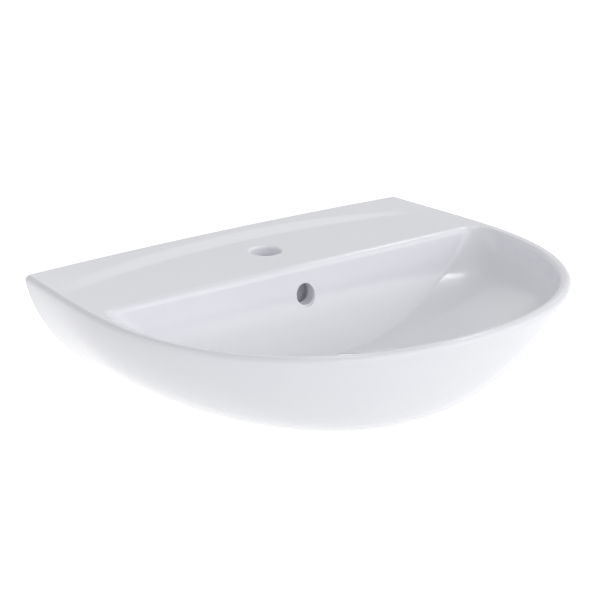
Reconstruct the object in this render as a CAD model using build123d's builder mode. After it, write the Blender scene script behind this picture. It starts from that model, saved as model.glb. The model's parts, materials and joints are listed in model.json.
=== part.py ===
from build123d import *
import math
import os

# Wall-hung ceramic basin that can stand over a pedestal, with its waste and its wall fixings.
# Millimetres. Origin on the wall plane, on the centreline, at the height of the wall fixings.
# +X is to the right seen from the front, +Y points into the wall, +Z is up.

# rim in plan
rim_wall_half = 263.0      # half width where the rim meets the wall
rim_side_half = 275.0      # half width at the widest place
rim_widest_y = -172.0      # how far from the wall the rim is widest
rim_reach = 442.0          # wall to the front of the rim
rim_lead_x = 5.3           # how the side leaves the wall
rim_lead_y = 59.4
wall_run = 2.0             # the sides run straight this far from the wall, and on behind it
side_pull = 44.2           # how straight the side stays behind its widest place
front_pull = 0.665         # share of the front depth over which the side stays straight
nose_pull = 0.572          # share of the half width over which the nose stays straight
rim_roll = 6.0             # radius of the rolled outer edge
lip_roll = 7.0             # radius of the rolled inner edge
roll_start = 0.12          # the inner rolls meet the rim plane this share short of level

# outer skirt, whose sections close towards a keel under the rim
skirt_past_wall = 6.0      # sections run on this far behind the wall, and are cut there
skirt_depth = 144.0        # rim to the ring that meets a pedestal
skirt_turn = 133.0         # the skirt runs straight on to the ring below this
keel_depth = 160.0
skirt_wall_close = (0.106, 1.85, 0.327)    # taper, fullness and power along the wall
skirt_side_close = (-0.091, 1.87, 0.696)   # the same for the sides
skirt_front_close = (0.207, 6.63, 0.421)   # the same for the front
skirt_steps = [0.0, 0.042, 0.11, 0.22, 0.36, 0.5, 0.625, 0.75, 0.865, 0.925, 1.0]
hollow_steps = [0.08, 0.21, 0.4, 0.6, 0.75, 0.88, 1.0]

# ceramic walls
skin = 11.0                # bowl and deck
skirt_inset = 8.0          # skirt, measured level; its sections also step up by the skin at the bottom
wall_plate = 15.0          # ceramic against the wall

# raised ledge at the back of the deck
ledge_crown = 3.7          # height at the centreline
ledge_mid_y = -28.0        # middle of its front slope at the centreline
ledge_end_y = -62.0        # the same near the ends
ledge_end_x = 230.0
ledge_slope = 24.0         # width of the front slope
ledge_soft = 0.333         # share of that width over which each end of the slope rounds off
ledge_foot = 0.4           # the slope's foot runs out this far below the deck
ledge_half = 255.0
ledge_sections = 7

# bowl
bowl_depth = 90.0
deck_roll = 8.0            # radius of the deck's front edge
deck_roll_start = 8.0      # degrees short of level where that roll begins
deck_front_y = -146.0      # where that edge begins to roll
bowl_wall_foot_y = -160.5  # foot of the bowl's steep back wall
bowl_wall_depth = 46.0
floor_angle = 45.0         # slope of the floor between that wall and the waste
bowl_side_half = 260.0
bowl_corner_half = 230.0
bowl_corner_roll = 24.0    # wide soft roll at the two back corners
bowl_side_below = 7.5      # the sides would close this far below the bowl's floor
bowl_corner_below = 4.0
bowl_side_close = (0.0, 2.6, 0.80)
bowl_corner_close = (0.0, 2.2, 0.83)
bowl_front_close = (0.13, 2.6, 0.70)
bowl_nose = 188.0          # waste centre to the bowl's front wall
bowl_widest_y = -182.0
bowl_back_y = -138.0       # sections run back to here, behind the bowl's back wall
bowl_back_draw = 0.0045    # how fast they narrow towards it, per millimetre
bowl_pull = 30.0
roll_levels = [-4.0, 0.0, 1.5, 4.0, 8.0]
bowl_steps = [0.17, 0.27, 0.38, 0.5, 0.62, 0.74]
floor_steps = [0.7, 0.76, 0.82, 0.87, 0.92, 1.0]
skin_steps = [0.09, 0.27, 0.5, 0.74, 0.91, 1.0]

# tap hole and overflow
tap_hole_radius = 17.5
tap_hole_y = -84.0
tap_hole_lip = 3.0
overflow_radius = 12.0
overflow_depth = 32.0      # rim to the hole's centre
overflow_lip = 2.0
channel_half = 17.0        # half width of the space that leads from the overflow to the waste
channel_gap = 12.0
channel_skin = 8.0
channel_headroom = 3.0     # channel above the overflow hole

# slotted waste, G 1 1/4, let into the bowl's floor
waste_y = -240.0
waste_thread_radius = 20.95
waste_bore_radius = 18.0
waste_hole_gap = 2.05      # thread to the ceramic hole
flange_radius = 32.0
flange_edge = 1.2
flange_dome = 0.8
recess_gap = 1.5           # flange to the edge of its recess
recess_depth = 2.6
seat_width = 3.0           # the plug's seat slopes in at 45 degrees
top_seal_thickness = 1.0
seal_inset = 1.0           # seal inside the flange's edge
tail_length = 64.4
relief_drop = 0.5          # back nut to the relief groove that ends the trap's thread
relief_height = 1.5
relief_cut = 1.2
boss_length = 38.0         # recess to the underside of the ceramic boss
slot_width = 12.0
slot_drop = 11.4           # recess to the top of the slots
slot_height = 15.0
spider_drop = 4.0          # slots to the bar that carries the cartridge
spider_thickness = 4.0
spider_arm = 4.0
spider_hub_wall = 2.0
lower_seal_inset = 3.0     # seal inside the boss's edge
lower_seal_thickness = 4.0
lower_seal_chamfer = 1.0
friction_washer_inset = 2.0
friction_washer_thickness = 1.5
back_nut_wall = 6.05       # thread to the nut's flats
back_nut_thickness = 7.0
thread_clearance = 0.05

# push plug and its latch cartridge
plug_overlap = 4.0         # cap beyond its seat
plug_dome = 1.2
plug_edge = 1.2
plug_lift = 10.0           # travel between shut and open
plug_seal_height = 1.5
moving_gap = 0.3
stem_radius = 3.5
stem_gap = 0.08
cartridge_radius = 8.0
cartridge_wall = 1.6
cartridge_below = 5.0      # cartridge below its bar
cartridge_floor = 2.0
gland_thickness = 3.0
latch_slack = 0.5          # room above the plunger when open
plunger_height = 6.0
spring_shut = 8.0
spring_wire = 1.2

# wall fixings, one set each side
fixing_drop = 62.0         # rim to the fixings
fixing_spacing = 280.0
fixing_hole_radius = 8.0
bolt_radius = 5.0
bolt_past_nut = 14.0
bolt_gap = 0.1
screw_radius = 4.0
screw_tip = 8.0            # length of the screw's point
screw_taper = 24.0         # degrees that the point slopes
screw_short = 8.0          # the screw stops this far before the wall plug's end
wall_plug_radius = 7.0
wall_plug_sunk = 1.0       # mouth of the wall plug below the wall's face
wall_plug_length = 69.0
plug_collar = 12.0         # plain mouth of the wall plug
plug_grooves = 6
plug_groove = 0.8
plug_slit = 1.6
bush_gap = 0.2
bush_flange_radius = 14.0
bush_flange = 3.0
washer_radius = 13.0
washer_thickness = 2.0
nut_across = 17.0
nut_thickness = 8.0
cap_wall = 1.6
cap_gap = 0.3

# opening in the wall plate for the pipes
pipe_notch_half = 75.0
pipe_notch_depth = 90.0    # rim to the notch's top

# heights and radii that follow
rim_z = fixing_drop
skirt_z = rim_z - skirt_depth
wall_slope = (deck_front_y - deck_roll - bowl_wall_foot_y) / (bowl_wall_depth - deck_roll)
floor_run = math.tan(math.radians(90.0 - floor_angle))
waste_hole_radius = waste_thread_radius + waste_hole_gap
boss_radius = waste_hole_radius + skin
recess_z = rim_z - bowl_depth - recess_depth
boss_z = recess_z - boss_length
flange_z = recess_z + top_seal_thickness
seat_z = flange_z + flange_edge
seat_radius = waste_bore_radius + seat_width
tail_z = flange_z - tail_length
slot_z = recess_z - slot_drop - slot_height
spider_z = slot_z - spider_drop - spider_thickness
lower_seal_radius = boss_radius - lower_seal_inset
friction_washer_z = boss_z - lower_seal_thickness - friction_washer_thickness
back_nut_z = friction_washer_z - back_nut_thickness
relief_z = back_nut_z - relief_drop
cap_z = seat_z + flange_dome + moving_gap
cap_edge_z = cap_z + plug_edge
plug_seal_z = cap_z - plug_seal_height
plug_seal_radius = seat_radius - (seat_z - plug_seal_z) - moving_gap * math.sqrt(2)
cartridge_bore = cartridge_radius - cartridge_wall
cartridge_z = spider_z - cartridge_below
spring_z = cartridge_z + cartridge_floor
plunger_z = spring_z + spring_shut
gland_z = plunger_z + plunger_height + plug_lift + latch_slack
washer_y = -wall_plate - bush_flange
nut_y = washer_y - washer_thickness
bolt_end_y = nut_y - nut_thickness - bolt_past_nut
wall_plug_end = wall_plug_sunk + wall_plug_length
groove_start = wall_plug_sunk + plug_collar
groove_pitch = (wall_plug_length - plug_collar) / plug_grooves
screw_end = wall_plug_end - screw_short - screw_tip
waste_plane = Plane.XZ.offset(-waste_y)
waste_axis = Axis((0, waste_y, 0), (0, 0, 1))


def closing(depth, limit, shape):
    """Share of the rim size that is left at this depth."""
    taper, fullness, power = shape
    part_way = max(depth, 0.0) / limit
    return (1 - taper * part_way) * (1 - part_way ** fullness) ** power


def rolled(depth, radius):
    """How far a rolled edge spreads out at this depth, and straight on above the rim."""
    below = max(depth, 0.0)
    across = max(radius * (1 - roll_start) - below, 0.0)
    down = math.sqrt(radius ** 2 - across ** 2)
    return radius - down + (below - depth) * across / down if radius else 0.0


def back_of_bowl(depth):
    """Distance from the wall of the bowl's back wall, or of its sloping floor below it."""
    if depth < bowl_wall_depth:
        return bowl_wall_foot_y + wall_slope * (bowl_wall_depth - depth)
    return bowl_wall_foot_y - floor_run * (depth - bowl_wall_depth)


def plan_outline(back, start, bend, side, pull, nose_y):
    """Closed outline in plan: straight back, swelling sides and a round nose."""
    front = side[1] - nose_y
    with BuildSketch() as plan:
        with BuildLine():
            Line(back, start)
            Bezier(start, bend, (side[0], side[1] + pull), side)
            Bezier(side, (side[0], side[1] - front_pull * front), (nose_pull * side[0], nose_y), (0, nose_y))
            mirror(about=Plane.YZ)
            Line((-back[0], back[1]), back)
        make_face()
    return plan.sketch


def skirt_share(depth, shape):
    """Share of the rim size that is left at this depth of the skirt, straight on below its last turn."""
    below = max(min(depth, skirt_turn) - rim_roll, 0.0)
    share = closing(below, keel_depth - rim_roll, shape)
    lean = share - closing(below - 1, keel_depth - rim_roll, shape)
    return share + lean * max(depth - skirt_turn, 0.0)


def skirt_section(depth, inset=0.0):
    """Section of the outer skirt, or of the space inside it."""
    wall_half = rim_wall_half * skirt_share(depth, skirt_wall_close) - inset
    side_half = rim_side_half * skirt_share(depth, skirt_side_close) - inset
    drawn_in = skirt_share(depth, skirt_front_close)
    lean = rim_lead_x / (rim_lead_y * drawn_in)
    return plan_outline(
        (wall_half - lean * skirt_past_wall, skirt_past_wall),
        (wall_half + lean * wall_run, -wall_run),
        (wall_half + rim_lead_x, -rim_lead_y * drawn_in),
        (side_half, rim_widest_y * drawn_in),
        side_pull * drawn_in,
        -rim_reach * drawn_in + inset,
    )


def bowl_section(depth, grow=0.0, lip=lip_roll, corner=bowl_corner_roll):
    """Section of the bowl's room, or of the skin round it."""
    corner_half = bowl_corner_half * closing(depth, bowl_depth + bowl_corner_below, bowl_corner_close)
    corner_half += rolled(depth, corner) + grow
    side_half = bowl_side_half * closing(depth, bowl_depth + bowl_side_below, bowl_side_close)
    side_half += rolled(depth, lip) + grow
    nose = bowl_nose * closing(depth, bowl_depth + bowl_side_below, bowl_front_close)
    nose += rolled(depth, lip) + grow
    corner_y = back_of_bowl(depth)
    widest = bowl_widest_y + (waste_y - bowl_widest_y) * min(1.0, depth / bowl_depth)
    drawn = 1 - bowl_back_draw * (bowl_back_y - corner_y)
    return plan_outline(
        (corner_half * drawn - 1, bowl_back_y + 1),
        (corner_half * drawn, bowl_back_y),
        (corner_half, corner_y),
        (side_half, widest),
        bowl_pull,
        waste_y - nose,
    )


def behind_bowl(bottom, grow=0.0):
    """Side view of what lies in front of the bowl's back wall and above its floor."""
    roll = math.radians(deck_roll_start)
    centre = deck_front_y, rim_z - deck_roll
    start = centre[0] - deck_roll * math.sin(roll), centre[1] + deck_roll * math.cos(roll)
    middle = centre[0] - deck_roll * math.sin(math.pi / 4), centre[1] + deck_roll * math.cos(math.pi / 4)
    foot = bowl_wall_foot_y, rim_z - bowl_wall_depth
    floor_end = foot[0] - floor_run * (bottom - bowl_wall_depth), rim_z - bottom
    top = rim_z + 2 * deck_roll
    rise = 2 * deck_roll + deck_roll * (1 - math.cos(roll))
    with BuildSketch() as side:
        with BuildLine():
            Line((start[0] + rise / math.tan(roll), top), start)
            ThreePointArc(start, middle, (centre[0] - deck_roll, centre[1]))
            Polyline(
                (centre[0] - deck_roll, centre[1]),
                foot,
                floor_end,
                (-rim_reach, rim_z - bottom),
                (-rim_reach, top),
                (start[0] + rise / math.tan(roll), top),
            )
        make_face()
        if grow:
            offset(amount=grow)
    return side.sketch


def ledge_profile(x):
    """Side view of the raised ledge at this distance from the centreline."""
    height = ledge_crown * (1 - (x / rim_wall_half) ** 2)
    middle = ledge_mid_y + (ledge_end_y - ledge_mid_y) * (x / ledge_end_x) ** 2
    top_front = middle + ledge_slope / 2, rim_z + height
    foot = middle - ledge_slope / 2, rim_z - ledge_foot
    soft = ledge_slope * ledge_soft
    with BuildSketch() as side:
        with BuildLine():
            Line((0, rim_z - skin / 2), (0, rim_z + height))
            Line((0, rim_z + height), top_front)
            Bezier(top_front, (top_front[0] - soft, top_front[1]), (foot[0] + soft, foot[1]), foot)
            Line(foot, (foot[0], rim_z - skin / 2))
            Line((foot[0], rim_z - skin / 2), (0, rim_z - skin / 2))
        make_face()
    return side.sketch


def channel_profile(near, far, top, roof, bottom, end_y):
    """Side view of a band behind the bowl's wall and floor that turns level towards the waste."""
    half_turn = math.radians(floor_angle) / 2
    level = math.cos(2 * half_turn)
    roof_y = back_of_bowl(roof - near / level)
    bottom_y = back_of_bowl(bottom - far / level)
    with BuildSketch() as side:
        with BuildLine():
            Polyline(
                (back_of_bowl(top) + near, rim_z - top),
                (bowl_wall_foot_y + near, rim_z - bowl_wall_depth - near * math.tan(half_turn)),
                (roof_y, rim_z - roof),
                (end_y, rim_z - roof),
                (end_y, rim_z - bottom),
                (bottom_y, rim_z - bottom),
                (bowl_wall_foot_y + far, rim_z - bowl_wall_depth - far * math.tan(half_turn)),
                (back_of_bowl(top) + far, rim_z - top),
                close=True,
            )
        make_face()
    return side.sketch


def finish(builder, label):
    """Name a finished piece and write it."""
    builder.part.label = label
    export_step(builder.part, f"parts/{label}.step")


os.makedirs("parts", exist_ok=True)

# room of the bowl
with BuildPart() as bowl_room:
    for depth in roll_levels + [bowl_depth * step for step in bowl_steps]:
        with BuildSketch(Plane.XY.offset(rim_z - depth)):
            add(bowl_section(depth))
    loft()
    with BuildSketch(Plane.YZ.offset(-rim_side_half)):
        add(behind_bowl(bowl_depth))
    extrude(amount=2 * rim_side_half, mode=Mode.INTERSECT)
with BuildPart() as bowl_floor:
    for step in floor_steps:
        with BuildSketch(Plane.XY.offset(rim_z - bowl_depth * step)):
            add(bowl_section(bowl_depth * step))
    loft(ruled=True)
    with BuildSketch(Plane.YZ.offset(-rim_side_half)):
        add(behind_bowl(bowl_depth))
    extrude(amount=2 * rim_side_half, mode=Mode.INTERSECT)

# outside of the ceramic round the bowl, whose floor is one skin lower
with BuildPart() as bowl_skin:
    for step in skin_steps:
        depth = bowl_depth * step
        lowered = skin * (step - skin_steps[0]) / (1 - skin_steps[0])
        with BuildSketch(Plane.XY.offset(rim_z - depth - lowered)):
            add(bowl_section(depth, grow=skin, lip=0.0, corner=0.0))
    loft()
    with BuildSketch(Plane.YZ.offset(-rim_side_half)):
        add(behind_bowl(bowl_depth + 2 * skin, grow=skin))
    extrude(amount=2 * rim_side_half, mode=Mode.INTERSECT)

# overflow channel: the block that carries it and the space in it
with BuildPart() as channel_block:
    with BuildSketch(Plane.YZ.offset(-channel_half - channel_skin)):
        add(
            channel_profile(
                near=skin / 2,
                far=skin + channel_gap + channel_skin,
                top=skin / 2,
                roof=bowl_depth + skin / 2,
                bottom=rim_z - slot_z + channel_skin,
                end_y=waste_y + boss_radius - channel_skin / 2,
            )
        )
    extrude(amount=2 * (channel_half + channel_skin))
with BuildPart() as channel_room:
    with BuildSketch(Plane.YZ.offset(-channel_half)):
        add(
            channel_profile(
                near=skin,
                far=skin + channel_gap,
                top=overflow_depth - overflow_radius - channel_headroom,
                roof=rim_z - slot_z - slot_height,
                bottom=rim_z - slot_z,
                end_y=waste_y + waste_hole_radius / 2,
            )
        )
    extrude(amount=2 * channel_half)

# space under the basin, open at the bottom
with BuildPart() as underside:
    for step in hollow_steps:
        with BuildSketch(Plane.XY.offset(rim_z - (skirt_depth - skin) * step)):
            add(skirt_section(skirt_depth * step, inset=skirt_inset))
    loft()
    with BuildSketch(Plane.XY.offset(skirt_z)):
        add(skirt_section(skirt_depth, inset=skirt_inset))
    extrude(amount=skin)
    split(bisect_by=Plane.XZ.offset(wall_plate), keep=Keep.TOP)
    add(bowl_skin.part, mode=Mode.SUBTRACT)
    add(channel_block.part, mode=Mode.SUBTRACT)
    with BuildSketch(Plane.XY.offset(boss_z)):
        with Locations((0, waste_y)):
            Circle(boss_radius)
    extrude(amount=boss_length, mode=Mode.SUBTRACT)

# raised ledge along the wall
with BuildPart() as ledge:
    for number in range(ledge_sections):
        x = ledge_half * (2 * number / (ledge_sections - 1) - 1)
        with BuildSketch(Plane.YZ.offset(x)):
            add(ledge_profile(x))
    loft()

# glazed ceramic casting
with BuildPart() as basin:
    for step in skirt_steps:
        with BuildSketch(Plane.XY.offset(rim_z - skirt_depth * step)):
            add(skirt_section(skirt_depth * step))
    loft()
    fillet(basin.faces().sort_by(Axis.Z)[-1].edges().sort_by(Axis.Y)[:-1], radius=rim_roll)
    add(ledge.part)
    split(bisect_by=Plane.XZ, keep=Keep.TOP)
    add(underside.part, mode=Mode.SUBTRACT)
    add(bowl_room.part, mode=Mode.SUBTRACT)
    add(bowl_floor.part, mode=Mode.SUBTRACT)
    # recess and hole for the waste
    with BuildSketch(Plane.XY.offset(recess_z)):
        with Locations((0, waste_y)):
            Circle(flange_radius + recess_gap)
    extrude(amount=2 * recess_depth, mode=Mode.SUBTRACT)
    with BuildSketch(Plane.XY.offset(boss_z)):
        with Locations((0, waste_y)):
            Circle(waste_hole_radius)
    extrude(amount=boss_length, mode=Mode.SUBTRACT)
    add(channel_room.part, mode=Mode.SUBTRACT)
    # overflow hole through the bowl's back wall
    with BuildSketch(Plane.XZ.offset(-back_of_bowl(overflow_depth) - skin - channel_gap / 2)):
        with Locations((0, rim_z - overflow_depth)):
            Circle(overflow_radius)
    extrude(amount=skin + channel_gap, mode=Mode.SUBTRACT)
    mouth = (0, back_of_bowl(overflow_depth), rim_z - overflow_depth + overflow_radius)
    fillet(basin.edges().sort_by_distance(mouth)[0], radius=overflow_lip)
    # tap hole
    with BuildSketch(Plane.XY.offset(rim_z - 2 * skin)):
        with Locations((0, tap_hole_y)):
            Circle(tap_hole_radius)
    extrude(amount=3 * skin, mode=Mode.SUBTRACT)
    fillet(basin.edges().sort_by_distance((tap_hole_radius, tap_hole_y, rim_z))[0], radius=tap_hole_lip)
    # wall fixing holes and the opening for the pipes
    with BuildSketch(Plane.XZ):
        with GridLocations(fixing_spacing, 1, 2, 1):
            Circle(fixing_hole_radius)
        with Locations((0, skirt_z)):
            Rectangle(2 * pipe_notch_half, 2 * (skirt_depth - pipe_notch_depth))
    extrude(amount=wall_plate, mode=Mode.SUBTRACT)
finish(basin, "basin")

# slotted waste: flange, seat, threaded tail and the bar that carries the cartridge
with BuildPart() as waste_body:
    with BuildSketch(waste_plane):
        with BuildLine():
            Polyline(
                (seat_radius, seat_z),
                (waste_bore_radius, seat_z - seat_width),
                (waste_bore_radius, tail_z),
                (waste_thread_radius, tail_z),
                (waste_thread_radius, relief_z - relief_height),
                (waste_thread_radius - relief_cut, relief_z - relief_height),
                (waste_thread_radius - relief_cut, relief_z),
                (waste_thread_radius, relief_z),
                (waste_thread_radius, flange_z),
                (flange_radius, flange_z),
                (flange_radius, seat_z),
            )
            crest = ((flange_radius + seat_radius) / 2, seat_z + flange_dome)
            ThreePointArc((flange_radius, seat_z), crest, (seat_radius, seat_z))
        make_face()
    revolve(axis=waste_axis)
    with BuildSketch(Plane.XY.offset(slot_z)):
        with Locations((0, waste_y)):
            Rectangle(slot_width, 2 * waste_hole_radius)
    extrude(amount=slot_height, mode=Mode.SUBTRACT)
    with BuildSketch(Plane.XY.offset(spider_z)):
        with Locations((0, waste_y)):
            Rectangle(waste_bore_radius + waste_thread_radius, spider_arm)
            Rectangle(spider_arm, waste_bore_radius + waste_thread_radius)
            Circle(cartridge_radius + thread_clearance + spider_hub_wall)
            Circle(cartridge_radius + thread_clearance, mode=Mode.SUBTRACT)
    extrude(amount=spider_thickness)
finish(waste_body, "waste_body")

# rubber seal under the flange
with BuildPart() as waste_top_seal:
    with BuildSketch(Plane.XY.offset(recess_z)):
        with Locations((0, waste_y)):
            Circle(flange_radius - seal_inset)
            Circle(waste_hole_radius, mode=Mode.SUBTRACT)
    extrude(amount=top_seal_thickness)
finish(waste_top_seal, "waste_top_seal")

# rubber seal under the ceramic boss
with BuildPart() as waste_lower_seal:
    with BuildSketch(Plane.XY.offset(boss_z - lower_seal_thickness)):
        with Locations((0, waste_y)):
            Circle(lower_seal_radius)
            Circle(waste_thread_radius + thread_clearance, mode=Mode.SUBTRACT)
    extrude(amount=lower_seal_thickness)
    lowest = waste_lower_seal.edges().group_by(Axis.Z)[0]
    chamfer(lowest.sort_by(SortBy.RADIUS)[-1], length=lower_seal_chamfer)
finish(waste_lower_seal, "waste_lower_seal")

# plastic washer that lets the back nut turn under the seal
with BuildPart() as friction_washer:
    with BuildSketch(Plane.XY.offset(friction_washer_z)):
        with Locations((0, waste_y)):
            Circle(lower_seal_radius - friction_washer_inset)
            Circle(waste_thread_radius + thread_clearance, mode=Mode.SUBTRACT)
    extrude(amount=friction_washer_thickness)
finish(friction_washer, "friction_washer")

# hexagonal back nut
with BuildPart() as back_nut:
    with BuildSketch(Plane.XY.offset(back_nut_z)):
        with Locations((0, waste_y)):
            RegularPolygon(waste_thread_radius + back_nut_wall, 6, major_radius=False)
            Circle(waste_thread_radius + thread_clearance, mode=Mode.SUBTRACT)
    extrude(amount=back_nut_thickness)
finish(back_nut, "back_nut")

# latch cartridge: housing, top nut, plunger and spring
with BuildPart() as click_housing:
    with BuildSketch(Plane.XY.offset(cartridge_z)):
        with Locations((0, waste_y)):
            Circle(cartridge_radius)
    extrude(amount=gland_z + gland_thickness - cartridge_z)
    with BuildSketch(Plane.XY.offset(spring_z)):
        with Locations((0, waste_y)):
            Circle(cartridge_bore)
    extrude(amount=gland_z + gland_thickness - spring_z, mode=Mode.SUBTRACT)
finish(click_housing, "click_housing")

with BuildPart() as click_top_nut:
    with BuildSketch(Plane.XY.offset(gland_z)):
        with Locations((0, waste_y)):
            Circle(cartridge_bore - thread_clearance)
            Circle(stem_radius + stem_gap, mode=Mode.SUBTRACT)
    extrude(amount=gland_thickness)
finish(click_top_nut, "click_top_nut")

with BuildPart() as click_plunger:
    with BuildSketch(Plane.XY.offset(plunger_z)):
        with Locations((0, waste_y)):
            Circle(cartridge_bore - stem_gap)
    extrude(amount=plunger_height)
finish(click_plunger, "click_plunger")

with BuildPart() as click_spring:
    with BuildSketch(Plane.XY.offset(spring_z)):
        with Locations((0, waste_y)):
            Circle(cartridge_bore - moving_gap)
            Circle(cartridge_bore - moving_gap - spring_wire, mode=Mode.SUBTRACT)
    extrude(amount=spring_shut)
finish(click_spring, "click_spring")

# push plug: stem, domed cap and rubber seal
with BuildPart() as plug_stem:
    with BuildSketch(Plane.XY.offset(plunger_z + plunger_height)):
        with Locations((0, waste_y)):
            Circle(stem_radius)
    extrude(amount=cap_z - plunger_z - plunger_height)
finish(plug_stem, "plug_stem")

with BuildPart() as plug_cap:
    with BuildSketch(waste_plane):
        with BuildLine():
            edge = seat_radius + plug_overlap
            sphere = (edge ** 2 + plug_dome ** 2) / (2 * plug_dome)
            middle = (edge / 2, cap_edge_z + plug_dome - sphere + math.sqrt(sphere ** 2 - edge ** 2 / 4))
            ThreePointArc((0, cap_edge_z + plug_dome), middle, (edge, cap_edge_z))
            Polyline((edge, cap_edge_z), (edge, cap_z), (0, cap_z), (0, cap_edge_z + plug_dome))
        make_face()
    revolve(axis=waste_axis)
finish(plug_cap, "plug_cap")

with BuildPart() as plug_seal:
    with BuildSketch(Plane.XY.offset(plug_seal_z)):
        with Locations((0, waste_y)):
            Circle(plug_seal_radius)
            Circle(stem_radius + thread_clearance, mode=Mode.SUBTRACT)
    extrude(amount=plug_seal_height)
finish(plug_seal, "plug_seal")

# nylon plugs in the wall
with BuildPart() as wall_plugs:
    with BuildSketch(Plane.XZ.offset(-wall_plug_sunk)):
        with GridLocations(fixing_spacing, 1, 2, 1):
            Circle(wall_plug_radius)
            Circle(screw_radius + thread_clearance, mode=Mode.SUBTRACT)
    extrude(amount=-wall_plug_length)
    for number in range(plug_grooves):
        with BuildSketch(Plane.XZ.offset(-groove_start - groove_pitch * number)):
            with GridLocations(fixing_spacing, 1, 2, 1):
                Circle(wall_plug_radius)
                Circle(wall_plug_radius - plug_groove, mode=Mode.SUBTRACT)
        extrude(amount=-groove_pitch / 2, mode=Mode.SUBTRACT)
    with BuildSketch(Plane.XZ.offset(-groove_start)):
        with GridLocations(fixing_spacing, 1, 2, 1):
            Rectangle(plug_slit, 2 * wall_plug_radius)
    extrude(amount=groove_start + groove_pitch / 2 - wall_plug_end, mode=Mode.SUBTRACT)
finish(wall_plugs, "wall_plugs")

# hanger bolts: wood screw in the wall, machine thread inside the basin
with BuildPart() as hanger_bolts:
    with BuildSketch(Plane.XZ.offset(-screw_end)):
        with GridLocations(fixing_spacing, 1, 2, 1):
            Circle(screw_radius)
    extrude(amount=screw_end)
    with BuildSketch(Plane.XZ.offset(-screw_end)):
        with GridLocations(fixing_spacing, 1, 2, 1):
            Circle(screw_radius)
    extrude(amount=-screw_tip, taper=screw_taper)
    with BuildSketch(Plane.XZ):
        with GridLocations(fixing_spacing, 1, 2, 1):
            Circle(bolt_radius)
    extrude(amount=-bolt_end_y)
finish(hanger_bolts, "hanger_bolts")

# plastic bushes in the fixing holes
with BuildPart() as shoulder_bushes:
    with BuildSketch(Plane.XZ):
        with GridLocations(fixing_spacing, 1, 2, 1):
            Circle(fixing_hole_radius - bush_gap)
    extrude(amount=wall_plate)
    with BuildSketch(Plane.XZ.offset(wall_plate)):
        with GridLocations(fixing_spacing, 1, 2, 1):
            Circle(bush_flange_radius)
    extrude(amount=bush_flange)
    with BuildSketch(Plane.XZ):
        with GridLocations(fixing_spacing, 1, 2, 1):
            Circle(bolt_radius + bolt_gap)
    extrude(amount=wall_plate + bush_flange, mode=Mode.SUBTRACT)
finish(shoulder_bushes, "shoulder_bushes")

with BuildPart() as fixing_washers:
    with BuildSketch(Plane.XZ.offset(-washer_y)):
        with GridLocations(fixing_spacing, 1, 2, 1):
            Circle(washer_radius)
            Circle(bolt_radius + bolt_gap, mode=Mode.SUBTRACT)
    extrude(amount=washer_thickness)
finish(fixing_washers, "fixing_washers")

with BuildPart() as fixing_nuts:
    with BuildSketch(Plane.XZ.offset(-nut_y)):
        with GridLocations(fixing_spacing, 1, 2, 1):
            RegularPolygon(nut_across / 2, 6, major_radius=False)
            Circle(bolt_radius + thread_clearance, mode=Mode.SUBTRACT)
    extrude(amount=nut_thickness)
finish(fixing_nuts, "fixing_nuts")

# push-on caps over the nuts
with BuildPart() as nut_caps:
    cap_inside = nut_across / math.sqrt(3) + cap_gap
    cap_length = nut_y - bolt_end_y + cap_gap
    with BuildSketch(Plane.XZ.offset(-nut_y)):
        with GridLocations(fixing_spacing, 1, 2, 1):
            Circle(cap_inside + cap_wall)
    extrude(amount=cap_length + cap_wall)
    fillet(nut_caps.faces().sort_by(Axis.Y)[:2].edges(), radius=cap_inside / 2)
    with BuildSketch(Plane.XZ.offset(-nut_y)):
        with GridLocations(fixing_spacing, 1, 2, 1):
            Circle(cap_inside)
    extrude(amount=cap_length - cap_inside / 2, mode=Mode.SUBTRACT)
    with BuildSketch(Plane.XZ.offset(-nut_y)):
        with GridLocations(fixing_spacing, 1, 2, 1):
            Circle(cap_inside / 2 + cap_gap)
    extrude(amount=cap_length, mode=Mode.SUBTRACT)
finish(nut_caps, "nut_caps")
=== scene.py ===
import json
import math
import bmesh
import bpy
import numpy as np
from mathutils import Matrix, Vector


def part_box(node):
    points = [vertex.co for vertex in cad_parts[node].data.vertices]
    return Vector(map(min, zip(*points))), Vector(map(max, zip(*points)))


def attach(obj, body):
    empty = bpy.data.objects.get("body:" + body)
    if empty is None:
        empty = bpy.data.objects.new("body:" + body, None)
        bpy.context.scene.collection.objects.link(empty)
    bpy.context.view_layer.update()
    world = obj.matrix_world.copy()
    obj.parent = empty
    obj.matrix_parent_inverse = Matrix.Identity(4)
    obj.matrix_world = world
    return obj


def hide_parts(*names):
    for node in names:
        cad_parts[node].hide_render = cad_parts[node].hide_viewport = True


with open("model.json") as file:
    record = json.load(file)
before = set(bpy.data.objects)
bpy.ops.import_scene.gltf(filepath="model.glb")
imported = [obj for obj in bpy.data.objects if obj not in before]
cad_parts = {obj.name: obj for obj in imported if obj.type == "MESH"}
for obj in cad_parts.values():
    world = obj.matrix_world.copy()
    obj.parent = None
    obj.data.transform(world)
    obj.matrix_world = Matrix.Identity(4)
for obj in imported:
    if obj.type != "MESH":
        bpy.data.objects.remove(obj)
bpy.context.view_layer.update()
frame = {"nodes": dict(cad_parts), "record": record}
MM = 0.001


# Finishes
PATTERN_LOW, PATTERN_HIGH = 0.3, 0.7       # what smooth noise mostly stays between


def finish_named(name, colour, roughness, metallic=0.0):
    """A new finish with its plain numbers on the shader's own sockets."""
    finish = bpy.data.materials.new(name)
    finish.use_nodes = True
    shader = finish.node_tree.nodes["Principled BSDF"]
    shader.inputs["Base Color"].default_value = (*colour, 1)
    shader.inputs["Roughness"].default_value = roughness
    shader.inputs["Metallic"].default_value = metallic
    return finish, finish.node_tree, shader


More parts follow.
